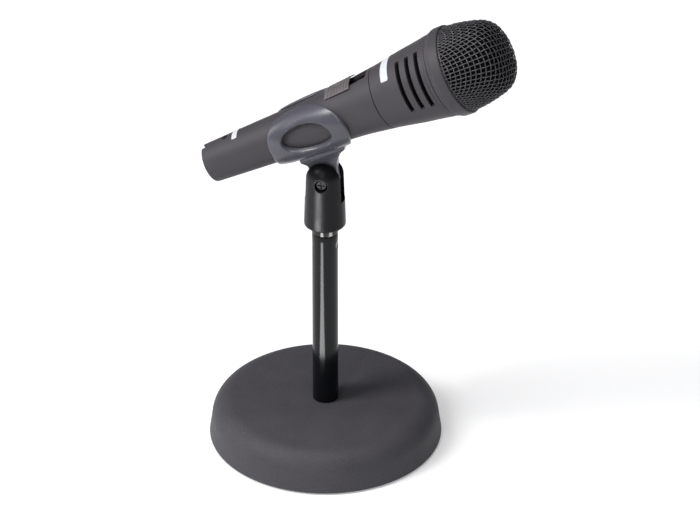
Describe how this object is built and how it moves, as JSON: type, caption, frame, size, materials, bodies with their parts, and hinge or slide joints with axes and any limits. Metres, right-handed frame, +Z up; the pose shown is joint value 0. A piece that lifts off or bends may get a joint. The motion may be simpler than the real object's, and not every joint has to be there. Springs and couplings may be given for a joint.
{
  "type": "desktop microphone stand with clip and microphone",
  "caption": "Round weighted desktop microphone stand: upright tube, swivelling fork with a tilting spring clip, holding a handheld dynamic microphone.",
  "frame": {"origin": "centre of the base pad's underside, on the axis of the upright tube", "axes": "+Z up along the tube; the microphone's head points towards +X and up, and the clip's tilt pivot lies along Y"},
  "size_m": [0.1792, 0.135, 0.279],
  "materials": {
    "base_coat": "dark grey fine-textured powder coat",
    "pad_rubber": "matte moulded",
    "zinc_fixings": "zinc plated",
    "tube_black": "gloss black enamel",
    "turned_steel": "turned",
    "nickel_plate": "bright nickel, plain",
    "holder_plastic": "satin black",
    "insert_brass": "machined",
    "pivot_steel": "bright plated",
    "friction_fibre": "matte fibre",
    "clip_plastic": "semi-gloss moulded, blue grey",
    "mic_coating": "matte soft-touch dark grey coating",
    "grille_wire": "woven wire, satin black paint",
    "foam": "open-cell foam",
    "acoustic_cloth": "black acoustic cloth",
    "capsule_metal": "drawn",
    "mount_rubber": "matte",
    "connector_plastic": "moulded black",
    "pin_silver": "silver plated",
    "screw_black": "black oxide",
    "switch_plastic": "moulded black",
    "slider_plastic": "ribbed, mid grey"
  },
  "bodies": {
    "stand": {"base_casting": "base_coat", "base_pad": "pad_rubber", "base_washer": "zinc_fixings", "base_nut": "zinc_fixings", "tube": "tube_black", "tube_lower_plug": "turned_steel", "tube_upper_plug": "turned_steel"},
    "holder": {"thread_adapter": "nickel_plate", "holder_body": "holder_plastic", "holder_insert": "insert_brass", "pivot_screw": "pivot_steel", "pivot_nut": "pivot_steel", "friction_washer_near": "friction_fibre", "friction_washer_far": "friction_fibre"},
    "clip": {"clip_shell": "clip_plastic"},
    "mic": {"mic_handle": "mic_coating", "mic_head_housing": "mic_coating", "mic_collar": "mic_coating", "mic_grille": "grille_wire", "mic_foam_liner": "foam", "mic_vent_cloth": "acoustic_cloth", "mic_capsule": "capsule_metal", "mic_shock_mount": "mount_rubber", "xlr_insert": "connector_plastic", "xlr_pin_1": "pin_silver", "xlr_pin_2": "pin_silver", "xlr_pin_3": "pin_silver", "xlr_set_screw": "screw_black", "mic_switch_plate": "switch_plastic", "mic_switch_unit": "switch_plastic"},
    "switch": {"mic_switch_slider": "slider_plastic"}
  },
  "joints": [
    {"name": "holder_swivel", "type": "hinge", "parent": "stand", "child": "holder", "pos_m": [0, 0, 0.141], "axis": [0, 0, 1], "range_deg": [-180, 180]},
    {"name": "clip_tilt", "type": "hinge", "parent": "holder", "child": "clip", "pos_m": [0, 0, 0.1707], "axis": [0, -1, 0], "range_deg": [-75, 61]},
    {"name": "mic_slide", "type": "slide", "parent": "clip", "child": "mic", "axis": [0.8776, 0, 0.4795], "range_m": [0, 0.1]},
    {"name": "switch_slide", "type": "slide", "parent": "mic", "child": "switch", "axis": [0.8363, 0, 0.5483], "range_m": [0, 0.008]}
  ]
}
